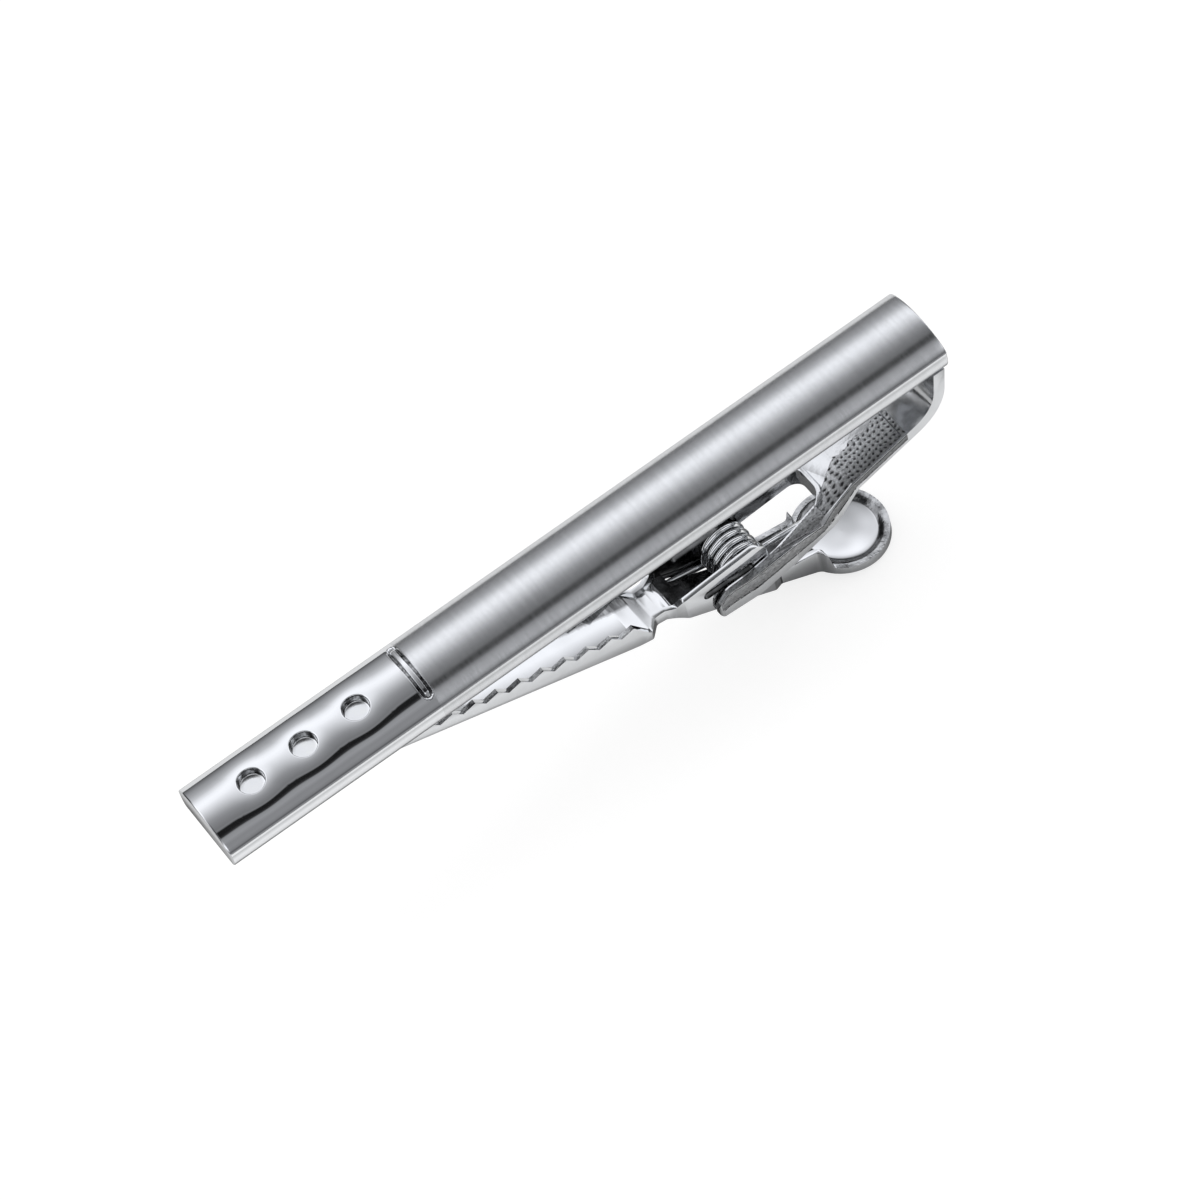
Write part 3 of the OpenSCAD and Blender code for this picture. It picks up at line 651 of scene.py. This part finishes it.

# The trough of the jaw is bright, with a dark streaked strip of painted shade along its far bend.
bend_start, bend_whole, bend_wander = 0.9, 1.2, 0.4
trough, tree, out = finish_nodes("jaw_trough")
place = add(tree, "TexCoord")
spot = add(tree, "SeparateXYZ", {0: place.outputs["Object"]})
haze = stretched_noise(tree, place, (300, 300, 300), 2.0)
shade_streaks = stretched_noise(tree, place, (4200, 500, 500), 2.0, 0.7)
wander = add(tree, "Math", {0: shade_streaks.outputs[0], 1: bend_wander * MM}, operation="MULTIPLY")
across = add(tree, "Math", {0: spot.outputs["Y"], 1: wander.outputs[0]}, operation="ADD")
bend = add(tree, "MapRange", {"Value": across.outputs[0], "From Min": bend_start * MM,
    "From Max": bend_whole * MM})
level = add(tree, "Mix", {0: bend.outputs[0], 2: spread(tree, haze, 0.72, 0.82).outputs[0],
    3: spread(tree, shade_streaks, 0.02, 0.4).outputs[0]}, data_type="FLOAT")
steel(tree, out, level, spread(tree, haze, 0.05, 0.1))
lever = eased_copy("jaw_lever", "toothed_lever", mirror, lever_ease)
for finish in (shaded, sheared_and_shaded, trough):
    lever.data.materials.append(finish)

# The housing's inside and its slots are darkened as painted shade. Cut edges and tooth flanks are
# sheared steel darkened as painted shade, and the jaw's far wall gets that steel as painted shade
# alone. Places along the clip are in mm from the pin, and way is a face's unit normal.
bright_part, shaded_part, sheared_shaded_part, trough_part = range(4)
heel_reach, pad_reach, pad_inner, pad_rim_z = 8.4, 8.4, 3.2, 0.6
housing_start, housing_end, housing_inner = -5.9, 3.1, 1.84
slot_start, slot_end, slot_low, slot_high = -4, 1, 1.2, 2.6
neck_end, neck_inner, trough_half, wall_inner, wall_outer = pad_reach - 2, 1.3, 1, 0.5, 2.1
tooth_inner, tooth_area = 1.2, 1.2


def lever_finish(x, y, z, way, area):
    from_pin, from_pad = x - hinge_x, math.hypot(x - hinge_x - pad_reach, y)
    in_jaw = from_pin < -heel_reach
    if abs(y) < housing_inner and way.z > -0.3 and housing_start < from_pin < housing_end:
        return shaded_part
    if slot_start < from_pin < slot_end and slot_low < z - hinge_z < slot_high and abs(way.y) < 0.5:
        return shaded_part
    if from_pin < -heel_reach + 0.5 and way.z > 0.6 and abs(y) < trough_half:
        return trough_part
    neck_edge = housing_end <= from_pin < neck_end and way.z > 0.5 and y > neck_inner
    far_wall = in_jaw and way.y < -0.7 and wall_inner < y < wall_outer
    tooth = in_jaw and abs(way.y) < 0.3 and way.z > 0.2 and way.x < 0.2 and abs(y) > tooth_inner
    flank = tooth and area < tooth_area
    pad_side = from_pad < pad_inner and abs(way.z) < 0.5
    pad_rim = from_pin > neck_end and way.z > 0.7 and z > pad_rim_z
    return sheared_shaded_part if neck_edge or far_wall or flank or pad_side or pad_rim else bright_part


for face in lever.data.polygons:
    face.material_index = lever_finish(*(Vector(face.center) / MM), face.normal, face.area / MM / MM)

# The pad is pressed into a bowl that rises to its rim: each point is a radius and a height.
bowl_radius, bowl_turns, side_start = 3.145, 144, 6
rim_start, rim_waver = 2.9, 0.02
pad_outer, pad_tilt, pad_sheet = 3.55, math.radians(7), 0.4
bowl_line = [(0.0, -0.188), (0.6, -0.178), (1.2, -0.15), (1.8, -0.1), (2.2, -0.052), (2.5, -0.008),
    (2.62, 0.022), (2.7, 0.06), (2.78, 0.115), (2.88, 0.195), (2.98, 0.27), (3.07, 0.315),
    (bowl_radius, 0.335)]
pad_x = hinge_x + pad_reach
pad_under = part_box("jaw_lever")[0][2] / MM + pad_outer * math.tan(pad_tilt)
bowl_points, bowl_faces = [], []
for i, (radius, rise) in enumerate(bowl_line):
    for k in range(bowl_turns):
        t = 2 * math.pi * k / bowl_turns
        on_rim = rim_start < radius < bowl_radius
        waver = rim_waver * math.sin(2.7 * k) * math.sin(1.3 * k + i) if on_rim else 0
        along, across = (radius + waver) * math.cos(t), (radius + waver) * math.sin(t)
        x = pad_x + along * math.cos(pad_tilt) + (rise + pad_sheet) * math.sin(pad_tilt)
        z = pad_under + (rise + pad_sheet) * math.cos(pad_tilt) - along * math.sin(pad_tilt)
        bowl_points.append((x * MM, across * MM, z * MM))
        if i:
            here, before = i * bowl_turns, (i - 1) * bowl_turns
            after = (k + 1) % bowl_turns
            bowl_faces.append((before + k, here + k, here + after, before + after))
bowl_steel, tree, out = finish_nodes("pressed_bowl")
place = add(tree, "TexCoord")
haze = stretched_noise(tree, place, (330, 330, 330), 1.0)
steel(tree, out, spread(tree, haze, 0.52, 0.92), spread(tree, haze, 0.05, 0.09),
    relief_of(tree, haze, 0.2, 0.04))
bowl = add_mesh("pad_bowl", bowl_points, bowl_faces, bowl_steel)
# The bowl's steep side has a darker steel, which is painted shade.
bowl.data.materials.append(plate("bowl_side", 0.1, 0.5, 0.08, 0.22, 0.8, 2200))
for ring, face in enumerate(bowl.data.polygons):
    face.material_index = 1 if ring // bowl_turns >= side_start else 0

# The opening that lets the spring's leg out under the jaw is drawn narrower than in the solid,
# by a strip of sheet in dark steel that is painted shade.
web_left, web_right, web_near, web_far, web_thick = -4.95, -0.65, 0.6, 1.12, 0.36
floor_at_pin, floor_slope = -1.67, -0.54
web_points = [((hinge_x + x) * MM, y * MM, (hinge_z + floor_at_pin + floor_slope * x - drop) * MM)
    for x in (web_left, web_right) for y in (web_near, web_far) for drop in (0, web_thick)]
web = add_mesh("floor_web", web_points, [(0, 4, 6, 2), (1, 3, 7, 5), (0, 1, 5, 4), (2, 6, 7, 3),
    (0, 2, 3, 1), (4, 5, 7, 6)], shaded, smooth=False)
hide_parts("jaw_lever")
for piece in (lever, bowl, web):
    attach(piece, "lever")

# Torsion spring: close-wound plated wire round the hinge pin. The end under the jaw turns
# with the lever, the end behind the arm stays, and the coil winds up between them.
spring_low, spring_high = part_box("torsion_spring")
coil_radius, wire_radius, turns, turn_pitch = 1.72, 0.26, 4.6, 0.67
coil_lift, coil_back, turn_steps, first_angle = 0.7, 0.12, 48, -107
leg_out, jaw_leg_rise, arm_leg_rise = 1.45, 1.23, 1.03
jaw_leg_short, arm_leg_short, twist_half = 0.1, 0.15, 1.4
coil_length = turns * turn_pitch


def wire_tube(name, line, radius, material, sides=14):
    line = [Vector(p) for p in line]
    tube_vertices, tube_faces = [], []
    side = None
    for i, point in enumerate(line):
        way = (line[min(i + 1, len(line) - 1)] - line[max(i - 1, 0)]).normalized()
        side = way.orthogonal() if side is None else side - way * side.dot(way)
        side = side.normalized()
        other = way.cross(side)
        for k in range(sides):
            t = 2 * math.pi * k / sides
            tube_vertices.append((point + (side * math.cos(t) + other * math.sin(t)) * radius) * MM)
    for i in range(len(line) - 1):
        for k in range(sides):
            a, b = i * sides + k, i * sides + (k + 1) % sides
            tube_faces.append((a, b, b + sides, a + sides))
    tube_faces.append(tuple(range(sides))[::-1])
    tube_faces.append(tuple((len(line) - 1) * sides + k for k in range(sides)))
    return add_mesh(name, tube_vertices, tube_faces, material)


wire_finish, tree, out = finish_nodes("spring_wire")
place = add(tree, "TexCoord")
grain = stretched_noise(tree, place, (1800, 1800, 1800), 2.0)
steel(tree, out, spread(tree, grain, 0.84, 0.92), spread(tree, grain, 0.03, 0.06))
coil = []
coil_count = int(turns * turn_steps)
for i in range(coil_count + 1):
    t = math.radians(first_angle + 360 * turns * i / coil_count)
    along = coil_length / 2 - coil_length * i / coil_count
    coil.append((hinge_x - coil_back + coil_radius * math.cos(t), along,
        hinge_z + coil_lift + coil_radius * math.sin(t)))
jaw_end = (spring_low[0] / MM + jaw_leg_short, leg_out, hinge_z + jaw_leg_rise)
arm_end = (spring_high[0] / MM - arm_leg_short, -leg_out, hinge_z + arm_leg_rise)
spring = wire_tube("coil_spring", [jaw_end] + coil + [arm_end], wire_radius, wire_finish)
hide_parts("torsion_spring")
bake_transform(spring)

# Hinge pin: a short plain steel pin. Its ends sit in blind seats in the fork's two prongs,
# and the lever's ears and the coil turn round it.
pin_steel, tree, out = finish_nodes("pin_steel")
place = add(tree, "TexCoord")
grain = stretched_noise(tree, place, (2500, 2500, 2500), 2.0)
steel(tree, out, spread(tree, grain, 0.6, 0.7), spread(tree, grain, 0.15, 0.25))
nodes["pivot_pin"].data.materials.clear()
nodes["pivot_pin"].data.materials.append(pin_steel)

# One large soft lamp overhead, a little to the far side, gives the clip its shadow on the
# table. Reflections do not show it.
lamp_data = bpy.data.lights.new("softbox", "AREA")
lamp_data.shape = "DISK"
lamp_data.size = 0.5
lamp_data.energy = 1.2
lamp = bpy.data.objects.new("softbox", lamp_data)
bpy.context.scene.collection.objects.link(lamp)
lamp.location = (0.1, 0.25, 0.9)
lamp.rotation_euler = (Vector((0, 0, 0)) - lamp.location).to_track_quat("-Z", "Y").to_euler()
lamp.visible_glossy = False
